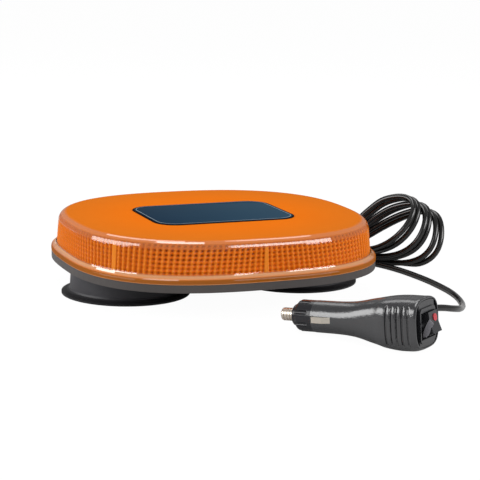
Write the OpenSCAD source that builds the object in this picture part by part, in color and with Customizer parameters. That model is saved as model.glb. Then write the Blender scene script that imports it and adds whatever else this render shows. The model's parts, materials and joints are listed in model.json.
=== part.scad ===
// Amber LED light box on two magnets, with its lead and a switched 12 V socket plug.
// X runs along the light box, -Y is its front, +Z is up, and Z = 0 is the surface it stands on.

/* [Light box] */
// Length of the lens flange along X
bar_l = 226; // [214:2:260]
// Width of the lens flange along Y
bar_w = 210; // [198:2:240]
// Squareness of the flange outline, where 2 is an ellipse
flange_q = 2.68; // [2.4:0.02:3.2]
// Squareness of the outline at the top of the lens
crown_q = 2.48; // [2.3:0.02:3.0]

/* [Lens] */
// Height of the lens over the base
lens_h = 28.4; // [26:0.1:40]
// Wall of the lens
lens_t = 2.6; // [2:0.1:3.2]
// Height of the outer face of the flange
flange_h = 3.7; // [3:0.1:6]
// How far the lens wall stands in from the flange
wall_in = 3.4; // [3.4:0.1:5]
// How far the lens wall leans in over its height
wall_draft = 0.8; // [0.5:0.1:3]
// Radius of the rounded top edge
edge_r = 6; // [4:0.5:8]
// Radius of the screw posts under the lens roof
post_r = 3.4; // [3:0.1:4]
// Distance of the screw posts in from the flange
post_in = 13.6; // [13.2:0.1:14.4]

/* [Label plate] */
// Length of the label plate
label_l = 106.6; // [80:0.2:112]
// Width of the label plate
label_w = 75.2; // [40:0.2:80]
// Corner radius of the label plate
label_r = 15.6; // [3:0.2:18]
// Thickness of the label plate
label_t = 0.7; // [0.4:0.1:1.2]

/* [Base tray] */
// Height of the base rim
rim_h = 5.4; // [5:0.1:8]
// Thickness of the tray floor
floor_t = 3; // [2.4:0.1:3.6]
// How far the rim stands in from the flange
rim_in = 0.2; // [0.1:0.1:1.5]
// Height of the tongue inside the lens
tongue_h = 5; // [3:0.5:8]
// Thickness of the tongue
tongue_t = 2; // [1.6:0.1:2.4]
// Height of the gasket
gasket_h = 1.2; // [0.8:0.1:1.6]
// Width of the gasket
gasket_w = 2.6; // [2:0.1:2.8]

/* [Magnet feet] */
// Distance between the two magnet centres
foot_pitch = 132; // [128:0.2:136]
// Diameter of the flared skirt
skirt_d = 92; // [89:0.2:98]
// Diameter of the rubber boot over its skirt
boot_d = 80.2; // [79.6:0.2:84]
// Height of the rubber boot
boot_h = 17.3; // [16.5:0.1:20]
// Gap between the boot and the base
boot_gap = 2.6; // [1.5:0.1:4]
// Diameter of the steel cup
cup_d = 74; // [68:1:75]
// Height of the steel cup
cup_h = 13.4; // [12:0.1:13.6]
// Steel thickness of the cup
cup_t = 2.6; // [2:0.1:3]
// Thickness of the rubber lip under the cup
lip_t = 1; // [0.8:0.1:1.2]
// Diameter of the hole in the ferrite ring
ring_bore = 18; // [16:1:24]
// Thread diameter of the foot bolts
bolt_d = 6; // [5:0.5:7]

/* [LED ring] */
// How far the bracket stands in from the flange
bracket_in = 26; // [25:0.5:31]
// Height of the bracket
bracket_h = 17; // [15:0.5:18]
// Sheet thickness of the bracket
bracket_t = 2; // [1.5:0.1:2.5]
// Number of flat sides of the bracket
bracket_sides = 12; // [12:4:16]
// Height of one LED board
strip_h = 13; // [11:0.5:14]
// Thickness of all circuit boards
board_t = 1.6; // [1:0.1:2]
// Side of one LED
led_w = 5; // [3.5:0.5:6]
// Number of LEDs on one board
leds_each = 3; // [2:1:3]

/* [Driver board] */
// Length of the driver board
driver_l = 84; // [76:2:92]
// Width of the driver board
driver_w = 46; // [40:2:60]
// Height of the standoffs under the driver board
standoff_h = 5; // [4:0.5:7]

/* [Lead] */
// Diameter of the cord
cord_d = 4.5; // [3.6:0.1:5]
// Diameter of the gland under the base
gland_d = 13; // [11:0.5:14]
// Length of the gland nut
gland_nut_l = 9; // [7:0.5:12]
// Length of the tapered strain reliefs
relief_l = 22; // [18:1:26]

/* [Plug] */
// Diameter of the barrel that goes into a 12 V socket
plug_d = 21.1; // [20.6:0.1:21.4]
// Length of the plug without its switch
plug_l = 107.1; // [105:0.1:115]
// Diameter of the centre contact
tip_d = 8.8; // [7.6:0.1:9.2]
// How far the centre contact stands out
tip_out = 10.1; // [9:0.1:11]
// Travel of the centre contact
tip_travel = 4; // [2:0.5:5]
// Height of the grip
grip_h = 34.2; // [34:0.1:36]
// Width of the grip
grip_w = 32.4; // [31.6:0.1:33.2]
// Wall of the plug shells
shell_t = 2.2; // [1.8:0.1:2.4]
// How far the side contacts stand out of the barrel
side_out = 1.5; // [1:0.1:1.8]
// Length of the side contacts
side_l = 14.4; // [12:0.2:15]
// Height of the side contacts
side_h = 4; // [3.6:0.1:5]
// Rocker swing from one side to the other, in degrees
rocker_swing = 28; // [20:1:28]
// Width of the rocker opening
rocker_open_w = 18.6; // [18:0.1:19]
// Height of the rocker opening
rocker_open_h = 17; // [16.8:0.1:18]

/* [Hidden] */

seat = 0.05;         // play between pieces that are screwed or pressed together
play = 0.3;          // play around pieces that drop into each other
slide_play = 0.1;    // play around pieces that slide
outline_n = 96;      // sides of the superellipse outlines
round_n = 64;        // fineness of round pieces

z_base = boot_h + boot_gap;
z_flange = z_base + rim_h;
z_top = z_flange + lens_h;
z_floor = z_base + floor_t;

// Wall of the flange over the lens cavity, then the tongue and the pocket
cavity_in = wall_in + lens_t;
tongue_in = cavity_in + play + 0.1;
pocket_in = tongue_in + tongue_t;
gasket_in = 2.9;

// Outline: superellipse of the flange, set in by a distance
function spow(v, p) = sign(v) * pow(abs(v), p);
function outline(inset, q) = [for (i = [0:outline_n - 1])
    let (t = 360 * i / outline_n)
    [(bar_l / 2 - inset) * spow(cos(t), 2 / q), (bar_w / 2 - inset) * spow(sin(t), 2 / q)]];
module plan(inset, q = flange_q) polygon(outline(inset, q));
module plan_ring(inset, width, h) linear_extrude(h) difference() {
    plan(inset);
    plan(inset + width);
}

// Screw posts of the lens: four at the corners and one in the middle of each long side
function on_outline(inset, t) =
    [(bar_l / 2 - inset) * spow(cos(t), 2 / flange_q), (bar_w / 2 - inset) * spow(sin(t), 2 / flange_q)];
post_places = [for (t = [38, 90, 142, 218, 270, 322]) on_outline(post_in, t)];
post_bore = 2.4;
post_screw_d = 3;
post_head_d = 5.6;
post_head_h = 1.8;
post_screw_l = 13;
module at_posts() for (p = post_places) translate([p[0], p[1], 0]) children();

// ---------- lens ----------
// Each ring is [height, inset, squareness] and the wall leans from wall_in to wall_in + wall_draft.
z_ledge = z_flange + flange_h;
function lean(z) = wall_in + wall_draft * (z - z_ledge) / (z_top - z_ledge);
function corner_q(z) = flange_q + (crown_q - flange_q) * (z - z_ledge) / (z_top - z_ledge);
lens_bevel = 0.7;
bead_r = 1.5;
fillet_w = 1.8;
fillet_h = 3.2;
edge_steps = 6;
roof_in = wall_in + wall_draft + edge_r;
inner_edge_r = max(edge_r - lens_t, 0.6);
lens_outer = concat(
    [[z_flange, lens_bevel / 2, flange_q], [z_flange + lens_bevel / 2, 0, flange_q],
     for (t = [0:30:90]) [z_ledge - bead_r * (1 - sin(t)), bead_r * (1 - cos(t)), flange_q],
     for (t = [0:30:60]) [z_ledge + fillet_h * (1 - cos(t)), wall_in - fillet_w * (1 - sin(t)), flange_q]],
    [for (k = [0:4]) let (z = z_ledge + fillet_h + (z_top - edge_r - z_ledge - fillet_h) * k / 4)
     [z, lean(z), corner_q(z)]],
    [for (k = [1:edge_steps]) let (t = 90 * k / edge_steps)
     [z_top - edge_r * (1 - sin(t)), lean(z_top - edge_r) + edge_r * (1 - cos(t)), corner_q(z_top)]],
    [[z_top, roof_in + 18, crown_q - 0.1], [z_top, roof_in + 55, crown_q - 0.2]]);
z_roof = z_top - lens_t;
lens_inner = concat(
    [[z_flange, cavity_in, flange_q]],
    [for (k = [0:4]) let (z = z_ledge + (z_roof - inner_edge_r - z_ledge) * k / 4)
     [z, lean(z) + lens_t, corner_q(z)]],
    [for (k = [1:4]) let (t = 90 * k / 4)
     [z_roof - inner_edge_r * (1 - sin(t)),
      lean(z_roof - inner_edge_r) + lens_t + inner_edge_r * (1 - cos(t)), corner_q(z_roof)]],
    [[z_roof, roof_in + 20, crown_q - 0.1], [z_roof, roof_in + 55, crown_q - 0.2]]);

// Faces between two closed loops of n points, and a fan from a loop to a pole
function band(a, b, n) = [for (i = [0:n - 1]) each
    let (k = (i + 1) % n) [[a + i, b + i, b + k], [a + i, b + k, a + k]]];
function fan(a, pole, n) = [for (i = [0:n - 1]) [a + i, pole, a + (i + 1) % n]];
function flip(faces) = [for (f = faces) [f[2], f[1], f[0]]];
function level(r) = [for (p = outline(r[1], r[2])) [p[0], p[1], r[0]]];

// A cup-like shell from outer and inner rings that both start at the open rim
module shell_of_rings(outer, inner) {
    n = outline_n;
    no = len(outer);
    ni = len(inner);
    points = concat([for (r = outer) each level(r)], [for (r = inner) each level(r)],
        [[0, 0, outer[no - 1][0]], [0, 0, inner[ni - 1][0]]]);
    first_in = no * n;
    pole_out = (no + ni) * n;
    faces = concat(
        [for (k = [0:no - 2]) each band(k * n, (k + 1) * n, n)],
        fan((no - 1) * n, pole_out, n),
        flip([for (k = [0:ni - 2]) each band(first_in + k * n, first_in + (k + 1) * n, n)]),
        flip(fan(first_in + (ni - 1) * n, pole_out + 1, n)),
        flip(band(0, first_in, n)));
    polyhedron(points, faces, convexity = 6);
}

module lens() color("#f07818") difference() {
    union() {
        shell_of_rings(lens_outer, lens_inner);
        at_posts() translate([0, 0, z_flange]) cylinder(r = post_r, h = z_roof + lens_t / 2 - z_flange, $fn = 24);
    }
    at_posts() translate([0, 0, z_flange - 1]) cylinder(d = post_bore, h = post_screw_l, $fn = 24);
}

module rounded(l, w, r, h) linear_extrude(h) union() {
    square([l, w - 2 * r], center = true);
    square([l - 2 * r, w], center = true);
    for (x = [-1, 1], y = [-1, 1]) translate([x * (l / 2 - r), y * (w / 2 - r)]) circle(r, $fn = 48);
}

module label_plate() color("#263e54") translate([0, 0, z_top]) rounded(label_l, label_w, label_r, label_t);

module gasket() color("#202020") translate([0, 0, z_flange - gasket_h])
    plan_ring(gasket_in + seat, gasket_w - 2 * seat, gasket_h);

// ---------- base tray ----------
tray_post_r = 3.2;
bracket_tab = 9;
bracket_foot_h = 4;
function bracket_corner(i, inset) = let (t = 360 * (i + 0.5) / bracket_sides)
    [(bar_l / 2 - inset) * spow(cos(t), 2 / flange_q), (bar_w / 2 - inset) * spow(sin(t), 2 / flange_q)];
function bracket_line(inset) = [for (i = [0:bracket_sides - 1]) bracket_corner(i, inset)];
// The bracket stands on four tabs, at the middle of one flat in each quarter
tab_flats = [for (k = [0:3]) round(bracket_sides * (k / 4 + 1 / 8))];
function flat_mid(i) = (bracket_corner(i - 1, bracket_in) + bracket_corner(i, bracket_in)) / 2;
function flat_yaw(i) = let (d = bracket_corner(i, bracket_in) - bracket_corner(i - 1, bracket_in)) atan2(d[1], d[0]) - 90;
function flat_len(i) = norm(bracket_corner(i, bracket_in) - bracket_corner(i - 1, bracket_in));
module on_flat(i) translate([flat_mid(i)[0], flat_mid(i)[1], 0]) rotate([0, 0, flat_yaw(i)]) children();
tab_hole_in = bracket_t + bracket_tab / 2;
small_screw_d = 3;
small_head_d = 5.4;
small_head_h = 2;
module at_tabs() for (i = tab_flats) on_flat(i) translate([-tab_hole_in, 0, 0]) children();
z_bracket = z_floor + bracket_foot_h;
driver_hole_x = driver_l / 2 - 4;
driver_hole_y = driver_w / 2 - 4;
module at_driver() for (x = [-1, 1], y = [-1, 1]) translate([x * driver_hole_x, y * driver_hole_y, 0]) children();
module at_feet() for (x = [-1, 1]) translate([x * foot_pitch / 2, 0, 0]) children();

// The cord leaves through a hood under the base, at the middle of its rear
gland_x = 24;
gland_y = bar_w / 2 - 31;
gland_yaw = 90;
gland_z = z_base - gland_d / 2 - 0.6;
hood_l = 16;
hood_w = gland_d + 4;
hood_drop = z_base - gland_z + gland_d / 2 + 1;
gland_thread_d = gland_d - 3;
cable_hole_d = cord_d + 3;
module gland_frame() translate([gland_x, gland_y, gland_z]) rotate([0, 0, gland_yaw]) children();
module along_x() rotate([0, 90, 0]) children();

module base_tray() color("#504e50") difference() {
    union() {
        difference() {
            union() {
                translate([0, 0, z_base]) linear_extrude(rim_h) plan(rim_in);
                translate([0, 0, z_flange - 1]) plan_ring(tongue_in, tongue_t, tongue_h + 1);
            }
            translate([0, 0, z_floor]) linear_extrude(rim_h + tongue_h) plan(pocket_in);
            translate([0, 0, z_flange - gasket_h]) plan_ring(gasket_in, gasket_w, gasket_h + 1);
        }
        at_posts() translate([0, 0, z_base]) cylinder(r = post_r, h = z_flange - z_base - seat, $fn = 32);
        at_tabs() translate([0, 0, z_base]) cylinder(r = tray_post_r, h = z_bracket - z_base, $fn = 32);
        at_driver() translate([0, 0, z_base]) cylinder(r = tray_post_r, h = z_floor + standoff_h - z_base, $fn = 32);
        gland_frame() translate([-hood_l, -hood_w / 2, -gland_d / 2 - 1]) cube([hood_l, hood_w, hood_drop + 1]);
    }
    at_posts() {
        translate([0, 0, z_base - 1]) cylinder(d = post_screw_d + 0.4, h = rim_h + 2, $fn = 32);
        translate([0, 0, z_base - 1]) cylinder(d = post_head_d + 0.6, h = post_head_h + 1, $fn = 32);
    }
    at_tabs() translate([0, 0, z_floor - 1.5]) cylinder(d = small_screw_d - 0.5, h = bracket_foot_h + 2, $fn = 32);
    at_driver() translate([0, 0, z_floor - 1.5]) cylinder(d = small_screw_d - 0.5, h = standoff_h + 2, $fn = 32);
    at_feet() translate([0, 0, z_base - 1]) cylinder(d = bolt_d + 0.4, h = rim_h, $fn = 48);
    gland_frame() {
        translate([-hood_l / 2, 0, 0]) along_x() cylinder(d = gland_thread_d, h = hood_l, $fn = 48);
        translate([-hood_l / 2, 0, 0]) cylinder(d = cable_hole_d, h = hood_drop + 2, $fn = 32);
    }
}

module flat_screw(head_d, head_h, d, l) {
    cylinder(d = head_d, h = head_h, $fn = 32);
    translate([0, 0, head_h - 0.01]) cylinder(d = d, h = l, $fn = 24);
}

module lens_screws() color("#b8bcc0") at_posts() translate([0, 0, z_base]) difference() {
    flat_screw(post_head_d, post_head_h - seat, post_bore - 0.02, post_screw_l);
    translate([0, 0, -1]) for (a = [0, 90]) rotate([0, 0, a]) translate([-1.6, -0.4, 0]) cube([3.2, 0.8, 2]);
}

// ---------- LED ring ----------
module led_bracket() color("#c8ccd0") difference() {
    union() {
        translate([0, 0, z_bracket]) linear_extrude(bracket_h) difference() {
            polygon(bracket_line(bracket_in));
            polygon(bracket_line(bracket_in + bracket_t * 1.04));
        }
        for (i = tab_flats) on_flat(i) translate([-bracket_tab - bracket_t, -bracket_tab / 2, z_bracket])
            cube([bracket_tab + bracket_t, bracket_tab, bracket_t]);
        for (i = tab_flats) on_flat(i)
            translate([-bracket_tab - bracket_t, -bracket_tab / 2, z_bracket + bracket_h - bracket_t])
            cube([bracket_tab + bracket_t, bracket_tab, bracket_t]);
    }
    at_tabs() translate([0, 0, z_bracket - 1]) cylinder(d = small_screw_d + 0.3, h = bracket_t + 2, $fn = 32);
    at_tabs() translate([0, 0, z_bracket + bracket_h - bracket_t - 1])
        cylinder(d = small_screw_d - 0.5, h = bracket_t + 2, $fn = 32);
}

strip_z = z_bracket + (bracket_h - strip_h) / 2;
strip_end = 2.4;
module led_boards() color("#e8e8e4") for (i = [0:bracket_sides - 1]) on_flat(i)
    translate([seat, -flat_len(i) / 2 + strip_end, strip_z]) cube([board_t, flat_len(i) - 2 * strip_end, strip_h]);

led_h = 1.2;
dome_r = led_w * 0.42;
module led() {
    translate([0, -led_w / 2, -led_w / 2]) cube([led_h, led_w, led_w]);
    translate([led_h - 0.01, 0, 0]) rotate([0, 90, 0]) intersection() {
        sphere(dome_r, $fn = 24);
        cylinder(r = dome_r + 1, h = dome_r + 1, $fn = 24);
    }
}
module leds() color("#ffe9a8") for (i = [0:bracket_sides - 1], k = [0:leds_each - 1]) on_flat(i)
    translate([seat + board_t, (k - (leds_each - 1) / 2) * (flat_len(i) - 2 * strip_end) / leds_each,
        strip_z + strip_h / 2]) led();

module bracket_screws() color("#b8bcc0") at_tabs()
    translate([0, 0, z_bracket + bracket_t + small_head_h + seat]) mirror([0, 0, 1])
    flat_screw(small_head_d, small_head_h, small_screw_d - 0.52, bracket_t + bracket_foot_h - 0.5);

z_plate = z_bracket + bracket_h;
plate_t = 1.5;
plate_in = bracket_in - 4;
module reflector_plate() color("#e4e4e0") difference() {
    translate([0, 0, z_plate]) linear_extrude(plate_t) polygon(bracket_line(plate_in));
    at_tabs() translate([0, 0, z_plate - 1]) cylinder(d = small_screw_d + 0.4, h = plate_t + 2, $fn = 32);
}
module reflector_screws() color("#b8bcc0") at_tabs()
    translate([0, 0, z_plate + plate_t + small_head_h + seat]) mirror([0, 0, 1])
    flat_screw(small_head_d, small_head_h, small_screw_d - 0.52, plate_t + bracket_t + 1);

// ---------- driver board ----------
z_driver = z_floor + standoff_h;
z_parts = z_driver + board_t;
module driver_board() color("#1f5a3a") difference() {
    translate([-driver_l / 2, -driver_w / 2, z_driver]) cube([driver_l, driver_w, board_t]);
    at_driver() translate([0, 0, z_driver - 1]) cylinder(d = small_screw_d + 0.3, h = board_t + 2, $fn = 32);
}
module driver_screws() color("#b8bcc0") at_driver()
    translate([0, 0, z_parts + small_head_h + seat]) mirror([0, 0, 1])
    flat_screw(small_head_d, small_head_h, small_screw_d - 0.52, board_t + 5);
coil_d = 12;
can_d = 8;
terminal_l = 10;
terminal_w = 16;
terminal_h = 9;
terminal_x = driver_l / 3;
can_pitch = driver_l * 0.12;
module driver_parts() color("#303438") {
    for (k = [1, 2]) translate([-k * terminal_x / 2, -8, z_parts]) cylinder(d = coil_d, h = 6.5, $fn = 40);
    for (k = [1:3]) translate([-k * can_pitch, 9, z_parts]) cylinder(d = can_d, h = 9, $fn = 32);
    translate([-2, -12, z_parts]) cube([10, 10, 1.6]);
    translate([0, 4, z_parts]) cube([7, 6, 1.6]);
    translate([12, -15, z_parts]) cube([6.5, 9, 2.3]);
}
module wire_terminal() color("#2c7a48") translate([terminal_x, -terminal_w / 2, z_parts]) difference() {
    cube([terminal_l, terminal_w, terminal_h]);
    for (k = [-1, 1]) translate([terminal_l - 5, terminal_w / 2 + k * 4, 3.4]) along_x() cylinder(d = 3.2, h = 8, $fn = 32);
    for (k = [-1, 1]) translate([terminal_l / 2, terminal_w / 2 + k * 4, terminal_h - 2]) cylinder(d = 3.6, h = 3, $fn = 32);
}

// ---------- magnet feet ----------
neck_d = 30;
foot_bore = bolt_d + 0.4;
z_cup = lip_t + seat;
z_cup_top = z_cup + cup_h;
pocket_d = cup_d + 2 * seat;
lip_w = 4;
module foot_boot() color("#2a292c") rotate_extrude($fn = round_n) polygon([
    [skirt_d / 2, 0], [skirt_d / 2, 1.3], [boot_d / 2 + 2, 2.3], [boot_d / 2 + 0.6, 3.1],
    [boot_d / 2, 4.4], [boot_d / 2 - 0.6, boot_h - 1.6], [boot_d / 2 - 1.2, boot_h - 0.5],
    [boot_d / 2 - 2.4, boot_h], [neck_d / 2, boot_h], [neck_d / 2, z_base],
    [foot_bore / 2, z_base], [foot_bore / 2, z_cup_top + seat], [pocket_d / 2, z_cup_top + seat],
    [pocket_d / 2, lip_t], [pocket_d / 2 - lip_w, lip_t], [pocket_d / 2 - lip_w, 0]]);
module foot_cup() color("#9a9ca0") translate([0, 0, z_cup]) difference() {
    cylinder(d = cup_d, h = cup_h, $fn = round_n);
    translate([0, 0, -1]) cylinder(d = cup_d - 2 * cup_t, h = cup_h - cup_t + 1, $fn = round_n);
    cylinder(d = foot_bore, h = cup_h + 1, $fn = 48);
}
ring_h = cup_h - cup_t - seat;
module foot_ring() color("#3a3836") translate([0, 0, z_cup]) difference() {
    cylinder(d = cup_d - 2 * cup_t - 2 * seat, h = ring_h, $fn = round_n);
    translate([0, 0, -1]) cylinder(d = ring_bore, h = ring_h + 2, $fn = 48);
}
module on_left() translate([-foot_pitch / 2, 0, 0]) children();
module on_right() translate([foot_pitch / 2, 0, 0]) children();
module boot_left() on_left() foot_boot();
module boot_right() on_right() foot_boot();
module cup_left() on_left() foot_cup();
module cup_right() on_right() foot_cup();
module ferrite_left() on_left() foot_ring();
module ferrite_right() on_right() foot_ring();

bolt_head_h = 3.6;
washer_t = 1.2;
nut_h = 5;
nut_d = bolt_d * 1.9;
z_bolt_head = z_cup_top - cup_t - bolt_head_h - seat;
bolt_end = 1.5;
module foot_bolts() color("#b8bcc0") at_feet() {
    translate([0, 0, z_bolt_head]) cylinder(d = nut_d, h = bolt_head_h, $fn = 6);
    translate([0, 0, z_bolt_head]) cylinder(d = bolt_d, h = z_floor + washer_t + nut_h + bolt_end - z_bolt_head, $fn = 32);
}
module foot_washers() color("#c0c4c8") at_feet() translate([0, 0, z_floor]) difference() {
    cylinder(d = nut_d + 4, h = washer_t, $fn = 48);
    translate([0, 0, -1]) cylinder(d = foot_bore, h = washer_t + 2, $fn = 48);
}
module foot_nuts() color("#c0c4c8") at_feet() translate([0, 0, z_floor + washer_t]) difference() {
    cylinder(d = nut_d, h = nut_h, $fn = 6);
    translate([0, 0, -1]) cylinder(d = bolt_d + 2 * seat, h = nut_h + 2, $fn = 32);
}

// ---------- where the plug lies ----------
// The plug lies on the surface on its nose and its grip. Along it, s runs from the contact to the switch.
plug_at = [0.5, -129.55];
plug_yaw = -55.1;
nose_d = plug_d - 0.3;
nose_in = 5.2;
nose_s = tip_out + nose_in;
grip_s = 92.6;
plug_pitch = atan((grip_h - nose_d) / 2 / (grip_s - nose_s));
plug_z = (nose_d / 2) / cos(plug_pitch) - nose_s * sin(plug_pitch) + 0.1;
module plug_frame() translate([plug_at[0], plug_at[1], plug_z]) rotate([0, 0, plug_yaw])
    rotate([0, -plug_pitch, 0]) children();

// A point of the plug's own frame, in the frame of the whole
function plug_point(s, y, z) = let (x1 = s * cos(plug_pitch) - z * sin(plug_pitch))
    [plug_at[0] + x1 * cos(plug_yaw) - y * sin(plug_yaw),
     plug_at[1] + x1 * sin(plug_yaw) + y * cos(plug_yaw),
     plug_z + s * sin(plug_pitch) + z * cos(plug_pitch)];
exit_s = 84;
exit_z = 0.5;

// ---------- gland under the base ----------
flange_l = 4;
sleeve_d = cord_d + 1.8;
module cord_gland() color("#2c2c2e") gland_frame() difference() {
    union() {
        translate([-hood_l / 2 + 1, 0, 0]) along_x() cylinder(d = gland_thread_d - 2 * seat, h = hood_l / 2, $fn = 48);
        along_x() cylinder(d = gland_d, h = flange_l, $fn = 6);
    }
    translate([-hood_l, 0, 0]) along_x() cylinder(d = sleeve_d + 2 * seat, h = 2 * hood_l, $fn = 48);
}
module gland_nut() color("#2c2c2e") gland_frame() translate([flange_l, 0, 0]) along_x() difference() {
    cylinder(d = gland_d - 0.6, h = gland_nut_l, $fn = 48);
    translate([0, 0, -1]) cylinder(d = sleeve_d + 2 * seat, h = gland_nut_l + 2, $fn = 48);
}
relief_tip_d = cord_d + 1.6;
module relief(root_d, l) rotate_extrude($fn = 48) polygon([[0, 0], [root_d / 2, 0], [root_d / 2, l * 0.25],
    [relief_tip_d / 2, l - 0.6], [relief_tip_d / 2 - 0.5, l], [0, l]]);
relief_x = flange_l + gland_nut_l;
relief_root_d = gland_d - 3;
module base_relief() color("#1c1c1e") gland_frame() {
    translate([-hood_l / 2 + 1, 0, 0]) along_x() cylinder(d = sleeve_d, h = relief_x + hood_l / 2, $fn = 48);
    translate([relief_x, 0, 0]) along_x() relief(relief_root_d, relief_l);
}

// ---------- cord ----------
cord_sides = 8;
function unit(v) = v / norm(v);
function heading(pts, i) = unit(pts[min(i + 1, len(pts) - 1)] - pts[max(i - 1, 0)]);
function cord_ring(p, t, r) = let (s = unit(cross(t, [0, 0, 1])), u = cross(s, t))
    [for (k = [0:cord_sides - 1]) let (a = 360 * k / cord_sides) p + r * (cos(a) * s + sin(a) * u)];
module cord_tube(pts, d) {
    n = cord_sides;
    last = len(pts) - 1;
    points = concat([for (i = [0:last]) each cord_ring(pts[i], heading(pts, i), d / 2)], [pts[0], pts[last]]);
    faces = concat([for (i = [0:last - 1]) each band(i * n, (i + 1) * n, n)],
        flip(fan(0, (last + 1) * n, n)), fan(last * n, (last + 1) * n + 1, n));
    polyhedron(points, faces, convexity = 8);
}
floor_z = cord_d / 2 + 0.1;
// From the strain relief under the base to the tie of the hank
start_route = [[gland_x, gland_y + 35, gland_z], [gland_x, gland_y + 44, 11.5], [gland_x + 2, gland_y + 52, 7],
    [gland_x + 10, gland_y + 57, floor_z], [gland_x + 22, gland_y + 54, floor_z],
    [58, 121, floor_z], [70, 109, floor_z], [81, 98, floor_z], [91, 90, 3.2], [101, 84.5, 6.5],
    [108.5, 80.5, 11], [113.8, 76.5, 15]];
// From the hank along the surface and up to the plug
lead_route = [[124, 60, 8], [129, 50, 5], [135, 39, 3], [142, 26, floor_z], [148, 10, floor_z],
    [152, -8, floor_z], [154, -26, floor_z], [155, -44, floor_z], [154.5, -62, floor_z], [153, -80, floor_z],
    [149.5, -97, floor_z], [144, -113, 2.6], [137, -127, 3.8], [128.5, -140, 6], [119, -153, 9.2],
    [109.5, -161.5, 12], [98.5, -166.8, 14.6], plug_point(exit_s, grip_w / 2 + relief_l + 7, exit_z - 0.6),
    plug_point(exit_s, grip_w / 2 + relief_l, exit_z)];
module cord_start() color("#161618") cord_tube(start_route, cord_d);
module cord_lead() color("#161618") cord_tube(lead_route, cord_d);

// The hank: a flat half behind the light box and an open, leaning half to its right, tied in the middle
tie_at = [116, 66];
tie_yaw = -69;
tie_r = 10;
tie_wall = 1.4;
tie_w = 6;
tie_side = 8;
tie_level = tie_r + tie_wall + 0.2;
lean_back = 30;
open_r = 22;
open_at = [62, 48];
open_t = 29;
open_front = 2.6;
flat_r = 24;
flat_reach = 50;
flat_t = 17;
neck_half = tie_w / 2 + 0.2;
module hank_frame() translate([tie_at[0], tie_at[1], 0]) rotate([0, 0, tie_yaw]) children();
module at_tie(x) translate([x, tie_side, tie_level]) along_x() children();
module cord_hank() color("#161618") hank_frame() {
    at_tie(-neck_half - 0.5) cylinder(r = tie_r, h = 2 * neck_half + 1, $fn = 32);
    hull() {
        at_tie(neck_half) cylinder(r = tie_r, h = 1, $fn = 32);
        rotate([90 - lean_back, 0, 0]) translate([open_at[0], open_at[1], open_front - open_t])
            cylinder(r = open_r, h = open_t, $fn = 48);
    }
    hull() {
        at_tie(-neck_half - 1) cylinder(r = tie_r, h = 1, $fn = 32);
        translate([-flat_reach, tie_side, 0.05]) cylinder(r = flat_r, h = flat_t, $fn = 48);
    }
}
module cord_tie() color("#101012") hank_frame() at_tie(-tie_w / 2) difference() {
    cylinder(r = tie_r + tie_wall, h = tie_w, $fn = 48);
    translate([0, 0, -1]) cylinder(r = tie_r + seat, h = tie_w + 2, $fn = 48);
}

terminal_end = terminal_x + terminal_l;
// Inside the tray, from the terminal block to the hole over the hood
inner_route = [[terminal_end + 0.3, 4, z_parts + 3.4], [terminal_end + 5.5, 6, z_parts + 3],
    [terminal_end + 10, 14, z_parts + 1.5], [terminal_end + 9, 26, z_floor + 6],
    [terminal_end + 4, 38, z_floor + 4.5], [gland_x + 10, gland_y - 25, z_floor + 3.6],
    [gland_x + 3, gland_y - 16, z_floor + 3.2], [gland_x, gland_y - 11, z_floor + 2.4],
    [gland_x, gland_y - 8, z_floor + 0.4]];
module inner_cable() color("#161618") cord_tube(inner_route, cord_d);

// ---------- plug ----------
barrel_s = tip_out + 16.2;
waist_s = 48.6;
rim_s = plug_l - 1.5;
shell_n = 20;
rim_wall = 0.8;
rim_rise = 0.9;
rim_half_h = grip_h / 2 - 1.3;
rim_half_w = grip_w / 2 - 0.4;
// Stations of the shells: distance, half height, half width, squareness, then how far it sits above the axis and
// how thick its wall is, where these aren't 0 and the wall of the rest
shell_rings = [
    [barrel_s, plug_d / 2, plug_d / 2, 2], [waist_s - 8, plug_d / 2 + 0.1, plug_d / 2 + 0.1, 2],
    [waist_s, plug_d / 2 + 0.4, plug_d / 2 + 0.3, 2], [waist_s + 7, plug_d / 2 + 1, plug_d / 2 + 0.7, 2.1],
    [waist_s + 13, plug_d / 2 + 2.1, plug_d / 2 + 1.4, 2.2], [waist_s + 19, plug_d / 2 + 3.4, plug_d / 2 + 2.4, 2.4],
    [waist_s + 25, plug_d / 2 + 4.5, plug_d / 2 + 3.4, 2.6], [grip_s - 13, grip_h / 2 - 1, grip_w / 2 - 0.6, 2.9],
    [grip_s - 6, grip_h / 2 - 0.25, grip_w / 2 - 0.15, 3.1], [grip_s, grip_h / 2, grip_w / 2, 3.2],
    [rim_s - 5, grip_h / 2 - 0.2, grip_w / 2, 3.2, 0.2, shell_t],
    [rim_s - 1.2, grip_h / 2 - 0.7, grip_w / 2 - 0.1, 3.2, rim_rise - 0.1, rim_wall + 0.4],
    [rim_s, rim_half_h, rim_half_w, 3.2, rim_rise, rim_wall]];
function rise_of(r) = len(r) > 4 ? r[4] : 0;
function wall_of(r) = len(r) > 5 ? r[5] : shell_t;
function arc_yz(r, inset) = [for (i = [0:shell_n]) let (t = 90 + 180 * i / shell_n)
    [r[0], (r[2] - inset) * spow(cos(t), 2 / r[3]), rise_of(r) + (r[1] - inset) * spow(sin(t), 2 / r[3])]];
function back_to_front(v) = [for (i = [len(v) - 1:-1:0]) v[i]];
function shell_loop(r) = concat(arc_yz(r, 0), back_to_front(arc_yz(r, wall_of(r))));
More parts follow.
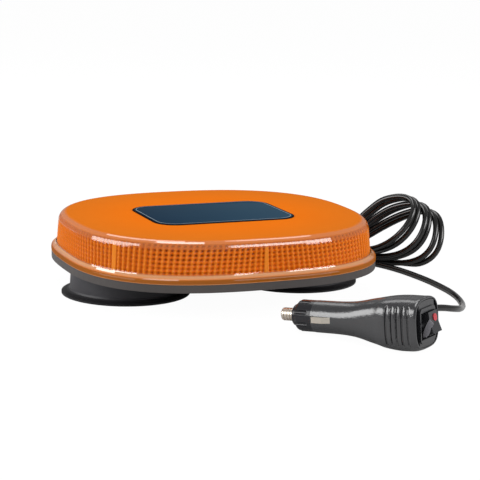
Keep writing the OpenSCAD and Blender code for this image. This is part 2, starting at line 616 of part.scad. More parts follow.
// One half of the shell, on the -Y side of the split
module shell_half() {
    n = 2 * (shell_n + 1);
    last = len(shell_rings) - 1;
    points = [for (r = shell_rings) each shell_loop(r)];
    end_cap = [for (i = [0:shell_n - 1]) each [[i, i + 1, n - 2 - i], [i, n - 2 - i, n - 1 - i]]];
    faces = concat([for (k = [0:last - 1]) each band(k * n, (k + 1) * n, n)],
        end_cap, flip([for (f = end_cap) [f[0] + last * n, f[1] + last * n, f[2] + last * n]]));
    polyhedron(points, faces, convexity = 8);
}
contact_s = barrel_s + 0.4;
screw_at_s = grip_s - 24;
screw_at_z = 7;
boss_d = 6;
boss_l = 8.6;
head_at = 6.4;
plug_screw_d = 2.2;
plug_head_d = 4.2;
// On the far side of the split, with Z away from it
module at_screws() for (z = [-1, 1]) translate([screw_at_s, 0, z * screw_at_z]) rotate([-90, 0, 0]) children();
stop_t = 1.6;
stop_r = plug_d / 2 - 0.25;
module contact_slot() translate([contact_s - slide_play, -plug_d, -side_h / 2 - slide_play])
    cube([side_l + 2 * slide_play, plug_d - 4, side_h + 2 * slide_play]);
// Half a plate across the barrel that the spring of the contact bears on
module stop_plate() difference() {
    translate([stop_s, 0, 0]) along_x() cylinder(r = stop_r, h = stop_t, $fn = 48);
    translate([0, 0, -plug_d]) cube([plug_l, plug_d, 2 * plug_d]);
}
module plug_shell_near() color("#3a3a3c") plug_frame() difference() {
    union() {
        shell_half();
        stop_plate();
        mirror([0, 1, 0]) at_screws() cylinder(d = boss_d, h = boss_l, $fn = 32);
    }
    contact_slot();
    mirror([0, 1, 0]) at_screws() translate([0, 0, -1]) cylinder(d = plug_screw_d - 0.3, h = boss_l, $fn = 24);
}
exit_hole_d = gland_d - 4;
module plug_shell_far() color("#3a3a3c") plug_frame() difference() {
    union() {
        mirror([0, 1, 0]) shell_half();
        mirror([0, 1, 0]) stop_plate();
        at_screws() cylinder(d = boss_d, h = boss_l, $fn = 32);
    }
    mirror([0, 1, 0]) contact_slot();
    at_screws() {
        translate([0, 0, -1]) cylinder(d = plug_screw_d + 0.3, h = grip_w, $fn = 24);
        translate([0, 0, head_at]) cylinder(d = plug_head_d + 0.4, h = grip_w, $fn = 32);
    }
    translate([exit_s, grip_w / 4, exit_z]) rotate([-90, 0, 0]) cylinder(d = exit_hole_d, h = grip_w, $fn = 48);
}
module plug_screws() color("#b8bcc0") plug_frame() at_screws() {
    translate([0, 0, head_at + seat]) cylinder(d = plug_head_d, h = 1.6, $fn = 32);
    translate([0, 0, -boss_l + 2]) cylinder(d = plug_screw_d - 0.32, h = boss_l - 2 + head_at + 0.5, $fn = 24);
}

collar_in = 4.2;
collar_l = 2.4;
collar_out_r = 7.2;
notch_r = 1.45;
notch_end = 12;
cap_bore_r = plug_d / 2 - 2.6;
cap_l = barrel_s - tip_out;
notch_n = 8;
module plug_nose_cap() color("#303034") plug_frame() translate([tip_out, 0, 0]) difference() {
    along_x() rotate_extrude($fn = round_n) polygon([
        [tip_d / 2, 0], [collar_out_r - 0.7, 0], [collar_out_r - 0.2, 0.2], [collar_out_r, 0.7], [collar_out_r, collar_l],
        [nose_d / 2 - 1.8, collar_l + 0.5], [nose_d / 2 - 0.6, nose_in - 1.3], [nose_d / 2, nose_in], [nose_d / 2, cap_l - seat],
        [cap_bore_r, cap_l - seat], [cap_bore_r, collar_in], [tip_d / 2, collar_in]]);
    for (k = [0:notch_n - 1]) rotate([360 * (k + 0.5) / notch_n, 0, 0])
        translate([collar_l, 0, nose_d / 2 + 0.1]) {
            along_x() cylinder(r = notch_r, h = notch_end - collar_l, $fn = 24);
            translate([notch_end - collar_l, 0, 0]) sphere(r = notch_r, $fn = 24);
        }
}
collar_r = tip_d / 2 + 2;
stem_l = 2;
tip_r = tip_d / 2 - slide_play;
tip_grooves = [2.6, 4.9, 7.2];
module tip_contact() color("#c9c2b8") plug_frame() along_x() rotate_extrude($fn = 48) polygon(concat(
    [[0, 0], [tip_r - 0.9, 0], [tip_r - 0.2, 0.5], [tip_r, 1.1]],
    [for (s = tip_grooves) each [[tip_r, s - 0.3], [tip_r - 0.4, s - 0.15], [tip_r - 0.4, s + 0.15], [tip_r, s + 0.3]]],
    [[tip_r, tip_out + collar_in + slide_play],
    [collar_r, tip_out + collar_in + slide_play], [collar_r, tip_out + collar_in + 1.6],
    [3, tip_out + collar_in + 1.6], [3, tip_out + collar_in + 1.6 + stem_l], [0, tip_out + collar_in + 1.6 + stem_l]]));
fuse_s = tip_out + collar_in + 1.6 + stem_l + seat;
fuse_l = 30;
fuse_d = 6.3;
fuse_cap_l = 6;
module plug_fuse() color("#d8d4cc") plug_frame() translate([fuse_s, 0, 0]) along_x() {
    cylinder(d = fuse_d - 0.5, h = fuse_l, $fn = 32);
    cylinder(d = fuse_d, h = fuse_cap_l, $fn = 32);
    translate([0, 0, fuse_l - fuse_cap_l]) cylinder(d = fuse_d, h = fuse_cap_l, $fn = 32);
}
spring_s = fuse_s + fuse_l + seat;
spring_l = 9.5;
spring_r = 2.5;
wire_d = 0.8;
spring_turns = 4;
stop_s = spring_s + spring_l + seat;
spring_route = [for (i = [0:spring_turns * 12]) let (a = 30 * i)
    [spring_s + wire_d / 2 + (spring_l - wire_d) * i / (spring_turns * 12), spring_r * cos(a), spring_r * sin(a)]];
module tip_spring() color("#c0c4c8") plug_frame() cord_tube(spring_route, wire_d);

contact_seat = plug_d / 2 - shell_t - 0.45;
contact_t = 1;
contact_tail = 4;
module side_contact(side) plug_frame() rotate([side > 0 ? 0 : 180, 0, 0])
    translate([0, 0, -side_h / 2]) linear_extrude(side_h) polygon([
        [contact_s, contact_seat - contact_t], [contact_s, plug_d / 2 - 0.6],
        [contact_s + 1.2, plug_d / 2 + side_out], [contact_s + side_l * 0.6, plug_d / 2 + side_out],
        [contact_s + side_l, plug_d / 2 - 0.6], [contact_s + side_l, contact_seat],
        [contact_s + side_l + contact_tail, contact_seat], [contact_s + side_l + contact_tail, contact_seat - contact_t]]);
module side_contact_near() color("#c9c2b8") side_contact(-1);
module side_contact_far() color("#c9c2b8") side_contact(1);

bezel_out = 0.7;
block_l = 14;
block_w = rocker_open_w + 2.2;
block_h = 22;
block_r = 3;
bezel_s = rim_s + bezel_out;
pivot_in = 3.2;
pivot_z = -0.2;
pin_d = 3;
plate_thick = 2;
function plate_outline(w, h) = [for (i = [0:63]) let (t = 360 * i / 64)
    [h * spow(sin(t), 2 / 3.2), w * spow(cos(t), 2 / 3.2)]];
well_d = pivot_in + rocker_open_h / 2 + play;
end_in = 0.3;
end_t = 2.2;
// End face of the grip above and below the switch; a slot stays open on each side of it
module end_plate() intersection() {
    translate([rim_s - end_in - end_t, 0, 0]) along_x() linear_extrude(end_t)
        translate([0.15 - rim_rise, 0]) polygon(plate_outline(rim_half_w - rim_wall, rim_half_h - rim_wall - play));
    translate([rim_s - plug_d, -block_w / 2, -grip_h]) cube([2 * plug_d, block_w, 2 * grip_h]);
}
module switch_block() color("#2e2e32") plug_frame() difference() {
    union() {
        translate([bezel_s - block_l, 0, 0]) along_x() rounded(block_h, block_w, block_r, block_l);
        translate([bezel_s - block_l - plate_thick, 0, 0]) along_x() linear_extrude(plate_thick)
            polygon(plate_outline(grip_w / 2 - shell_t - play, grip_h / 2 - shell_t - play));
        end_plate();
    }
    translate([bezel_s - well_d, -rocker_open_w / 2, pivot_z - rocker_open_h / 2])
        cube([well_d + 1, rocker_open_w, rocker_open_h]);
    translate([bezel_s - pivot_in, 0, pivot_z]) rotate([90, 0, 0])
        cylinder(d = pin_d + slide_play, h = grip_w, center = true, $fn = 48);
}
module switch_blades() color("#c8a860") plug_frame()
    for (y = [-5, 5]) translate([bezel_s - block_l - plate_thick - 7, y - 0.4, -3.2]) cube([7, 0.8, 6.3]);

rocker_r = rocker_open_h / 2 - play;
rocker_v0 = -2.6;
rocker_w = rocker_open_w / 2 - play - rocker_v0;
wing_r = rocker_r + 1.4;
wing_a = 45.4;
face_in = 5.9;
cheek_t = 1.2;
module rocker_frame() plug_frame() translate([bezel_s - pivot_in, 0, pivot_z]) rotate([0, -rocker_swing / 2, 0])
    rotate([90, 0, 0]) mirror([0, 0, 1]) children();
module rocker() color("#3c3c42") rocker_frame() {
    translate([0, 0, rocker_v0]) linear_extrude(rocker_w) polygon(concat(
        [[face_in, 0], [wing_r * cos(wing_a), wing_r * sin(wing_a)]],
        [for (a = [58:8:302]) rocker_r * [cos(a), sin(a)]],
        [[wing_r * cos(wing_a), -wing_r * sin(wing_a)]]));
    translate([0, 0, rocker_v0 - cheek_t]) linear_extrude(cheek_t + 0.1) polygon(concat(
        [for (a = [80:8:240]) rocker_r * [cos(a), sin(a)]],
        [for (a = [240:-8:80]) (rocker_r - 3) * [cos(a), sin(a)]]));
    translate([0, 0, -block_w / 2]) cylinder(d = pin_d, h = block_w, $fn = 48);
}
lamp_r = 2.3;
lamp_out = 0.6;
face_tilt = atan((wing_r * cos(wing_a) - face_in) / (wing_r * sin(wing_a)));
module rocker_lamp() color("#d01c2c") rocker_frame() rotate([0, 0, -face_tilt])
    translate([face_in * cos(face_tilt) + seat - 0.05, 3.4, rocker_v0 + rocker_w * 0.62]) along_x() cylinder(r = lamp_r, h = lamp_out, $fn = 40);

module plug_relief() color("#1c1c1e") plug_frame() translate([exit_s, 0, exit_z]) rotate([-90, 0, 0]) {
    translate([0, 0, grip_w / 2 - shell_t - 1]) cylinder(d = exit_hole_d - 2 * seat, h = shell_t + 1.4, $fn = 48);
    translate([0, 0, grip_w / 2 + 0.35]) relief(exit_hole_d + 1, relief_l - 0.35);
}

lens();
label_plate();
gasket();
base_tray();
lens_screws();
led_bracket();
led_boards();
leds();
bracket_screws();
reflector_plate();
reflector_screws();
driver_board();
driver_parts();
wire_terminal();
driver_screws();
inner_cable();
boot_left();
boot_right();
cup_left();
cup_right();
ferrite_left();
ferrite_right();
foot_bolts();
foot_washers();
foot_nuts();
cord_gland();
gland_nut();
base_relief();
cord_start();
cord_hank();
cord_tie();
cord_lead();
plug_shell_near();
plug_shell_far();
plug_screws();
plug_nose_cap();
tip_contact();
plug_fuse();
tip_spring();
side_contact_near();
side_contact_far();
switch_block();
switch_blades();
rocker();
rocker_lamp();
plug_relief();
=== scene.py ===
# %% [markdown]
# # Amber LED light box on two magnet feet
# The object is a low rounded warning light. An amber lens is screwed to a dark tray, which stands on two magnets in
# rubber boots. Its lead is wound into a tied hank and ends in a switched plug for a 12 V socket.
# The solids come from the frame, in metres. This lesson gives each one its finish, and builds the pieces that need
# finer shapes.

# %% Load the frame
import json
import math
import bpy
import bmesh
from mathutils import Matrix, Vector


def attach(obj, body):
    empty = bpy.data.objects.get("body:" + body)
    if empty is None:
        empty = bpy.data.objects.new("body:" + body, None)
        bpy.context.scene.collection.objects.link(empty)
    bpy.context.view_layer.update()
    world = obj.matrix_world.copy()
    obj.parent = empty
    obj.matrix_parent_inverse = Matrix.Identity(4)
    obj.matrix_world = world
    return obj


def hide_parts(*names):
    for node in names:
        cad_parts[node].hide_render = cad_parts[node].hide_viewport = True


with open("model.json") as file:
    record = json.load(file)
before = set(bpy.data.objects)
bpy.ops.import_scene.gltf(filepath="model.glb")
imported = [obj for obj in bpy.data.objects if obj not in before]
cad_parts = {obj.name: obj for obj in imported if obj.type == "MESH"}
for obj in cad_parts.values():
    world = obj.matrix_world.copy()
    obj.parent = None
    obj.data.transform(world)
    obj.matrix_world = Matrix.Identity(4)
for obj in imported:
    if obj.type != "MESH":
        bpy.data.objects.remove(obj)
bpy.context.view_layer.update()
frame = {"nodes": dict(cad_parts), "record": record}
nodes = frame["nodes"]
scene = bpy.context.scene
MM = 0.001
print("solids loaded:", len(nodes))

# %% [markdown]
# The camera stands low in front of the light and a little to its left, and looks with a long lens, so the shapes stay
# almost parallel. It could be aimed with a constraint. A matrix is plainer here, because the lens axis doesn't pass
# through the middle of the object.

# %% Place the camera
CAMERA_AT = Vector((-434.68, -1109.07, 274.68))
turn, tilt, roll = math.radians(-22.36478), math.radians(11.4177), math.radians(1.104)
back = Vector((math.sin(turn) * math.cos(tilt), -math.cos(turn) * math.cos(tilt), math.sin(tilt)))
right = Vector((math.cos(turn), math.sin(turn), 0))
up = back.cross(right)
place = Matrix((right, up, back)).transposed() @ Matrix.Rotation(roll, 3, "Z")
camera_data = bpy.data.cameras.new("camera")
camera_data.lens = 125.22
camera_data.sensor_width = 36
camera = bpy.data.objects.new("camera", camera_data)
camera.matrix_world = Matrix.Translation(CAMERA_AT * MM) @ place.to_4x4()
scene.collection.objects.link(camera)
scene.camera = camera
print("camera lens", camera_data.lens, "mm")

# %% [markdown]
# A finished mesh needs an object, a smooth skin with crisp edges, a finish and a body to ride on.
# One small helper does this for every new piece, so no piece is left without one of them.

# %% A helper that finishes a piece
def new_piece(name, bm, finish, stands_for=(), body="light_and_plug", sharp=35):
    mesh = bpy.data.meshes.new(name)
    bm.to_mesh(mesh)
    bm.free()
    mesh.shade_smooth()
    mesh.set_sharp_from_angle(angle=math.radians(sharp))
    mesh.materials.append(finish)
    piece = bpy.data.objects.new(name, mesh)
    scene.collection.objects.link(piece)
    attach(piece, body)
    if stands_for:
        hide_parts(*stands_for)
    print("made", name, "with", len(mesh.polygons), "faces")
    return piece

# %% [markdown]
# Moulded plastic and rubber are never one flat colour. They have a fine grain, soft patches of a second colour and
# places rubbed a little smoother. Many finishes here need this, so it is a node group with its own inputs, built once.
# It gives a colour, a roughness and a normal.

# %% A node group for moulded surfaces
def group_sockets(tree, inputs, outputs):
    for kind, name, value in inputs:
        socket = tree.interface.new_socket(name=name, in_out="INPUT", socket_type=kind)
        socket.default_value = value
    for kind, name in outputs:
        tree.interface.new_socket(name=name, in_out="OUTPUT", socket_type=kind)
    return tree.nodes.new("NodeGroupInput"), tree.nodes.new("NodeGroupOutput")


def moulded_group():
    tree = bpy.data.node_groups.new("moulded surface", "ShaderNodeTree")
    entry, leave = group_sockets(
        tree,
        [("NodeSocketColor", "Colour", (0.5, 0.5, 0.5, 1)), ("NodeSocketColor", "Patches", (0.4, 0.4, 0.4, 1)),
         ("NodeSocketFloat", "Roughness", 0.4), ("NodeSocketFloat", "Rubbed", 0.1),
         ("NodeSocketFloat", "Grain size", 900.0), ("NodeSocketFloat", "Grain height", 0.1)],
        [("NodeSocketColor", "Colour"), ("NodeSocketFloat", "Roughness"), ("NodeSocketVector", "Normal")])
    new, link = tree.nodes.new, tree.links.new
    where = new("ShaderNodeTexCoord")
    patches = new("ShaderNodeTexNoise")
    patches.inputs["Scale"].default_value = 28
    patches.inputs["Detail"].default_value = 4
    link(where.outputs["Object"], patches.inputs["Vector"])
    mix = new("ShaderNodeMix")
    mix.data_type = "RGBA"
    link(patches.outputs["Fac"], mix.inputs["Factor"])
    link(entry.outputs["Colour"], mix.inputs["A"])
    link(entry.outputs["Patches"], mix.inputs["B"])
    link(mix.outputs["Result"], leave.inputs["Colour"])
    rub = new("ShaderNodeMath")
    rub.operation = "MULTIPLY_ADD"
    link(patches.outputs["Fac"], rub.inputs[0])
    link(entry.outputs["Rubbed"], rub.inputs[1])
    link(entry.outputs["Roughness"], rub.inputs[2])
    link(rub.outputs["Value"], leave.inputs["Roughness"])
    grain = new("ShaderNodeTexNoise")
    grain.inputs["Detail"].default_value = 2
    link(where.outputs["Object"], grain.inputs["Vector"])
    link(entry.outputs["Grain size"], grain.inputs["Scale"])
    bump = new("ShaderNodeBump")
    bump.inputs["Distance"].default_value = 0.0004
    link(entry.outputs["Grain height"], bump.inputs["Strength"])
    link(grain.outputs["Fac"], bump.inputs["Height"])
    link(bump.outputs["Normal"], leave.inputs["Normal"])
    return tree


MOULDED = moulded_group()
print("group:", MOULDED.name, "with", len(MOULDED.nodes), "nodes")

# %% [markdown]
# Colours are given as they look on the object, from 0 to 255, and turned to the linear numbers that a shader wants.
# The Principled BSDF stays in each material, and only what varies over the surface reaches it from the group.

# %% A helper that makes a finish
def linear(red, green, blue):
    shares = (red / 255, green / 255, blue / 255)
    return tuple(c / 12.92 if c < 0.0404 else ((c + 0.055) / 1.055) ** 2.4 for c in shares) + (1,)


def moulded(name, colour, patches, roughness=0.4, rubbed=0.1, grain=900, height=0.1, **sockets):
    material = bpy.data.materials.new(name)
    material.use_nodes = True
    tree = material.node_tree
    shader = tree.nodes["Principled BSDF"]
    group = tree.nodes.new("ShaderNodeGroup")
    group.node_tree = MOULDED
    for socket, value in (("Colour", linear(*colour)), ("Patches", linear(*patches)), ("Roughness", roughness),
                          ("Rubbed", rubbed), ("Grain size", grain), ("Grain height", height)):
        group.inputs[socket].default_value = value
    tree.links.new(group.outputs["Colour"], shader.inputs["Base Color"])
    tree.links.new(group.outputs["Roughness"], shader.inputs["Roughness"])
    tree.links.new(group.outputs["Normal"], shader.inputs["Normal"])
    for socket, value in sockets.items():
        shader.inputs[socket.replace("_", " ")].default_value = value
    return material


cord_skin = moulded("cord skin", (9, 9, 10), (16, 14, 13), 0.1, 0.12, 500, 0.04, IOR=1.65)
print("finish:", cord_skin.name)

# %% [markdown]
# Several finishes change with height or along the object. Each does it in the same way: a place in Object coordinates
# is brought to 0 to 1, and a colour ramp turns it into a mask, which then tints the colour. These helpers add such
# nodes to a material.

# %% Masks from a place on the object
def height_of(tree, low, high):
    where = tree.nodes.new("ShaderNodeTexCoord")
    split = tree.nodes.new("ShaderNodeSeparateXYZ")
    share = tree.nodes.new("ShaderNodeMapRange")
    share.inputs["From Min"].default_value = low * MM
    share.inputs["From Max"].default_value = high * MM
    tree.links.new(where.outputs["Object"], split.inputs["Vector"])
    tree.links.new(split.outputs["Z"], share.inputs["Value"])
    return share.outputs["Result"]


def mask(tree, source, low, high, stops):
    """A grey ramp whose stops are given as (place, value), with places between low and high."""
    ramp = tree.nodes.new("ShaderNodeValToRGB")
    steps = ramp.color_ramp.elements
    while len(steps) < len(stops):
        steps.new(1.0)
    for step, (place, value) in zip(steps, stops):
        step.position = (place - low) / (high - low)
        step.color = (value, value, value, 1)
    tree.links.new(source, ramp.inputs["Fac"])
    return ramp.outputs["Color"]


def tint(tree, source, factor, colour):
    mix = tree.nodes.new("ShaderNodeMix")
    mix.data_type = "RGBA"
    mix.inputs["B"].default_value = linear(*colour)
    tree.links.new(factor, mix.inputs["Factor"])
    tree.links.new(source, mix.inputs["A"])
    return mix.outputs["Result"]


def surface_of(material):
    """The node tree, the moulded group and the shader of a finish."""
    tree = material.node_tree
    return tree, next(n for n in tree.nodes if n.type == "GROUP"), tree.nodes["Principled BSDF"]


print("mask helpers ready")

# %% [markdown]
# The cord is one length of round cable, 4.5 mm thick. It leaves the gland behind the light, runs along the surface to
# the hank, makes six turns there, and comes forward to the plug. A poly curve with a round bevel is the plainest way to
# hold such a path. First come the points: a run to the hank, each turn as a leaning loop and a flat loop that share the
# tie, and the lead.

# %% The frame of the hank
CORD_R, TURNS = 2.25, 6
RESTING = CORD_R + 0.1  # height of the cord's middle where it lies on the surface
yaw, lean = math.radians(-69), math.radians(30)
along = Vector((math.cos(yaw), math.sin(yaw), 0))
aside = Vector((-math.sin(yaw), math.cos(yaw), 0))
rise = aside * math.sin(lean) + Vector((0, 0, math.cos(lean)))
front = along.cross(rise)
hank_at = Vector((116, 66, 0))
tie_at = hank_at + aside * 8 + Vector((0, 0, 11.6))
tie_across = aside * math.cos(lean) - Vector((0, 0, math.sin(lean)))


def ring_of_strands(count, radius, first):
    angles = [math.radians(first + 360 / count * i) for i in range(count)]
    return [(radius * math.cos(a), radius * math.sin(a)) for a in angles]


tie_places = ring_of_strands(10, 7.45, 18) + ring_of_strands(3, 2.7, 90)
upper = sorted(p for p in tie_places if p[1] > 0)
lower = sorted(p for p in tie_places if p[1] <= 0)
print("strands in the tie:", len(tie_places))

# %% Places of the strands in the tie
def strand(j):
    """Place of the cord in the tie, the j-th time that it passes through."""
    p = lower[0] if j == 2 * TURNS else upper[j // 2] if j % 2 == 0 else lower[1 + j // 2]
    return tie_at + tie_across * p[0] + rise * p[1]


def gathered(point, x, j, reach):
    """A point of a loop, drawn to its place in the tie when it is nearer to it than reach."""
    w = max(0.0, 1 - abs(x) / reach)
    w = w * w * (3 - 2 * w)
    return point * (1 - w) + (strand(j) + along * x) * w


def swell(t, middle, width):
    return math.exp(-((t - middle) / width) ** 2)


fullest = max(math.sin(t / 200) * math.sin(t / 400) ** 1.5 for t in range(629))
print("last strand at", [round(c, 1) for c in strand(2 * TURNS)])

# %% The leaning and the flat loops
LONGER, HIGHER = (0, -1.5, 1.5, -1.5, 1.0, 0), (0, 1.5, -1.0, 1.8, -1.2, 0.5)


def leaning_loop(k, steps=26):
    """A turn that leans on the others. No two are equally long, and their far ends lie at different heights."""
    points, q = [], k / 5
    for i in range(steps + 1):
        t = 2 * math.pi * i / steps
        f = (1 - math.cos(t)) / 2
        x = (75 + 1.3 * k + LONGER[k]) * f
        y = (40 + 0.3 * k) / 2 / fullest * math.sin(t) * abs(math.sin(t / 2)) ** 1.5
        p = hank_at + along * x - front * 4.8 * k * (0.45 + 0.55 * f)
        p += rise * (y + 12 * (1 - f) + 48.4 * f + HIGHER[k] * f * f)
        p += Vector((0, 0, (5.5 - 9 * q) * swell(t, 1.5, 0.7)))
        p += (aside * 6 * q + along * 12 * q - Vector((0, 0, 4 * q))) * swell(t, 4.0, 0.85)
        p.z = max(p.z, RESTING)
        points.append(gathered(p, x, 2 * k if t <= math.pi else 2 * k + 1, 42.0))
    return points


def flat_loop(k, steps=24):
    """A turn that lies on the surface, in a stack of three layers with two turns in each."""
    points, layer, inner = [], k // 2, k % 2
    for i in range(steps + 1):
        t = 2 * math.pi * i / steps
        x = (68 - 9 * inner) * (1 - math.cos(t)) / 2
        y = (40 - 10 * inner) / 2 / fullest * math.sin(t) * abs(math.sin(t / 2)) ** 1.5
        p = hank_at + aside * 8 - along * x - aside * y + Vector((0, 0, RESTING + 4.6 * layer))
        points.append(gathered(p, -x, 2 * k + 1 if t <= math.pi else 2 * k + 2, 34.0))
    return points


print("points in a turn:", len(leaning_loop(0)) + len(flat_loop(0)) - 2)

# %% [markdown]
# The plug lies on the surface on its nose and its grip, so its own axes are turned and tipped. In its own frame, s runs
# from the contact at the tip to the switch, y to its far side and z up. One matrix turns such a place into a place in
# the scene.

# %% The frame of the plug
def plug_axes():
    turn, tip = math.radians(-55.1), math.radians(4.95375)
    u = Vector((math.cos(turn) * math.cos(tip), math.sin(turn) * math.cos(tip), math.sin(tip)))
    v = Vector((-math.sin(turn), math.cos(turn), 0))
    return u, v, u.cross(v)


plug_u, plug_v, plug_w = plug_axes()
PLUG_TIP = Vector((0.5, -129.55, 9.2178))
PLUG = Matrix.Translation(PLUG_TIP * MM) @ Matrix((plug_u, plug_v, plug_w)).transposed().to_4x4()
print("plug tip at", [round(c, 4) for c in PLUG.translation])

# %% The whole route of the cord
GLAND_EXIT = (24, 109, 12.8)
to_hank = [GLAND_EXIT, (24, 118, 11.5), (26, 126, 7), (34, 131, RESTING), (46, 128, RESTING), (58, 121, RESTING),
           (70, 109, RESTING), (81, 98, RESTING), (91, 90, 3.2), (101, 84.5, 6.5), (108.5, 80.5, 11), (113.8, 76.5, 15)]
to_grip = [(129, 50, 5), (135, 39, 3), (142, 26, RESTING), (148, 10, RESTING), (152, -8, RESTING), (154, -26, RESTING),
           (155, -44, RESTING), (154.5, -62, RESTING), (153, -80, RESTING), (149.5, -97, RESTING), (144, -113, 2.6),
           (137, -127, 3.8), (128.5, -140, 6), (119, -153, 9.2), (109.5, -161.5, 12), (98.5, -166.8, 14.6)]
in_plug = [(84, 45.2, -0.1), (84, 38.2, 0.5), (84, 27, 0.5), (84, 16, 0.5), (82, 7, 0.5), (76, 1.5, 0.2), (69, 0, 0)]
turns_of_hank = []
for k in range(TURNS):
    turns_of_hank += leaning_loop(k)[:-1] + flat_loop(k)[:-1]
route = [Vector(p) for p in to_hank + turns_of_hank + [strand(2 * TURNS)] + to_grip]
route += [PLUG @ (Vector(p) * MM) / MM for p in in_plug]
print("route points:", len(route))

# %% [markdown]
# A poly curve has no smoothing of its own. The points are joined by a centripetal spline, which doesn't overshoot where
# near and far points alternate, and points are set along it every 3 mm or so.

# %% Smooth the route
def smooth_route(points, step=3.0):
    p = [points[0] * 2 - points[1]] + points + [points[-1] * 2 - points[-2]]
    out = []
    for i in range(1, len(p) - 2):
        a, b, c, d = p[i - 1:i + 3]
        t1 = max((b - a).length, 1e-6) ** 0.5
        t2 = t1 + max((c - b).length, 1e-6) ** 0.5
        t3 = t2 + max((d - c).length, 1e-6) ** 0.5
        count = max(1, round((c - b).length / step))
        for q in range(count):
            t = t1 + (t2 - t1) * q / count
            ab = a.lerp(b, t / t1)
            bc = b.lerp(c, (t - t1) / (t2 - t1))
            cd = c.lerp(d, (t - t2) / (t3 - t2))
            before, after = ab.lerp(bc, t / t2), bc.lerp(cd, (t - t1) / (t3 - t1))
            out.append(before.lerp(after, (t - t1) / (t2 - t1)))
    return out + [p[-2]]


cord_points = smooth_route(route)
for p in cord_points:
    p.z = max(p.z, CORD_R + 0.06)

# %% The cord
cord_curve = bpy.data.curves.new("cord", "CURVE")
cord_curve.dimensions = "3D"
cord_curve.bevel_depth = CORD_R * MM
cord_curve.bevel_resolution = 3
cord_curve.use_fill_caps = True
spline = cord_curve.splines.new("POLY")
spline.points.add(len(cord_points) - 1)
for knot, p in zip(spline.points, cord_points):
    knot.co = (*(p * MM), 1)
spline.use_smooth = True
cord_curve.materials.append(cord_skin)
cord = bpy.data.objects.new("cord", cord_curve)
scene.collection.objects.link(cord)
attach(cord, "light_and_plug")
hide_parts("cord_start", "cord_hank", "cord_lead")
print("cord made")

# %% [markdown]
# The object stands on a plain white surface. A wide plane takes the light and the faint shadow, and the part of it that
# the camera sees directly is lifted to white with Light Path, so no extra light falls on the object. The world does
# the same.

# %% How white the background is to a ray
def seen_share(tree, straight, mirrored):
    """How much a ray sees of the white background: straight or through clear parts, and mirrored in gloss."""
    rays = tree.nodes.new("ShaderNodeLightPath")
    through = tree.nodes.new("ShaderNodeMath")
    through.operation = "MAXIMUM"
    tree.links.new(rays.outputs["Is Camera Ray"], through.inputs[0])
    tree.links.new(rays.outputs["Is Transmission Ray"], through.inputs[1])
    first = tree.nodes.new("ShaderNodeMath")
    first.operation = "MULTIPLY"
    first.inputs[1].default_value = straight
    tree.links.new(through.outputs["Value"], first.inputs[0])
    both = tree.nodes.new("ShaderNodeMath")
    both.operation = "MULTIPLY_ADD"
    both.inputs[1].default_value = mirrored
    tree.links.new(rays.outputs["Is Glossy Ray"], both.inputs[0])
    tree.links.new(first.outputs["Value"], both.inputs[2])
    return both.outputs["Value"]


print("background helper ready")

# %% Floor
def white_floor():
    material = bpy.data.materials.new("white floor")
    material.use_nodes = True
    tree = material.node_tree
    shader = tree.nodes["Principled BSDF"]
    shader.inputs["Base Color"].default_value = (0.6, 0.6, 0.6, 1)
    shader.inputs["Roughness"].default_value = 0.9
    shader.inputs["Specular IOR Level"].default_value = 0.0
    glow = tree.nodes.new("ShaderNodeEmission")
    glow.inputs["Strength"].default_value = 1.1
    mix = tree.nodes.new("ShaderNodeMixShader")
    tree.links.new(seen_share(tree, 0.88, 0.05), mix.inputs["Fac"])
    tree.links.new(shader.outputs["BSDF"], mix.inputs[1])
    tree.links.new(glow.outputs["Emission"], mix.inputs[2])
    tree.links.new(mix.outputs["Shader"], tree.nodes["Material Output"].inputs["Surface"])
    return material


floor_bm = bmesh.new()
bmesh.ops.create_grid(floor_bm, x_segments=1, y_segments=1, size=6)
floor_mesh = bpy.data.meshes.new("floor")
floor_bm.to_mesh(floor_mesh)
floor_bm.free()
floor_mesh.materials.append(white_floor())
floor = bpy.data.objects.new("floor", floor_mesh)
scene.collection.objects.link(floor)
print("floor is", round(2 * max(v.co.x for v in floor_mesh.vertices)), "m wide")

# %% World
world = bpy.data.worlds.new("studio")
scene.world = world
world.use_nodes = True
sky = world.node_tree.nodes["Background"]
level = world.node_tree.nodes.new("ShaderNodeMix")
level.data_type = "FLOAT"
level.inputs["A"].default_value = 0.25
level.inputs["B"].default_value = 1.0
world.node_tree.links.new(seen_share(world.node_tree, 1.0, 0.1), level.inputs["Factor"])
world.node_tree.links.new(level.outputs["Result"], sky.inputs["Strength"])
sky.inputs["Color"].default_value = (1, 1, 1, 1)
scene.view_settings.view_transform = "Standard"
print("world ready, view transform", scene.view_settings.view_transform)

# %% [markdown]
# Wide soft boxes light it. The one overhead draws the thin line along the roof's edge, the low one at the right draws
# the bright streak under that line, and the low one at the left does the same there and runs along the plug and the
# cord. A weak one stands behind. Each is placed by its direction: degrees to the right of the front, and degrees above
# the surface.

# %% Lamps
def soft_box(name, aside_by, above, away, size, watts):
    data = bpy.data.lights.new(name, "AREA")
    data.shape = "RECTANGLE"
    data.size, data.size_y = size
    data.energy = watts
    lamp = bpy.data.objects.new(name, data)
    a, b = math.radians(aside_by), math.radians(above)
    at = Vector((math.sin(a) * math.cos(b), -math.cos(a) * math.cos(b), math.sin(b))) * away
    lamp.matrix_world = Matrix.Translation(at) @ at.to_track_quat("Z", "Y").to_matrix().to_4x4()
    scene.collection.objects.link(lamp)
    print("lamp", name, "gives", watts, "W")


soft_box("overhead", -140, 84, 1.4, (1.2, 0.5), 6.4)
soft_box("low right", 35, 23, 1.2, (0.95, 0.5), 7.5)
soft_box("low left", -97, 22, 1.2, (1.2, 0.55), 8.5)
soft_box("behind", 165, 50, 1.6, (1.2, 0.5), 3)

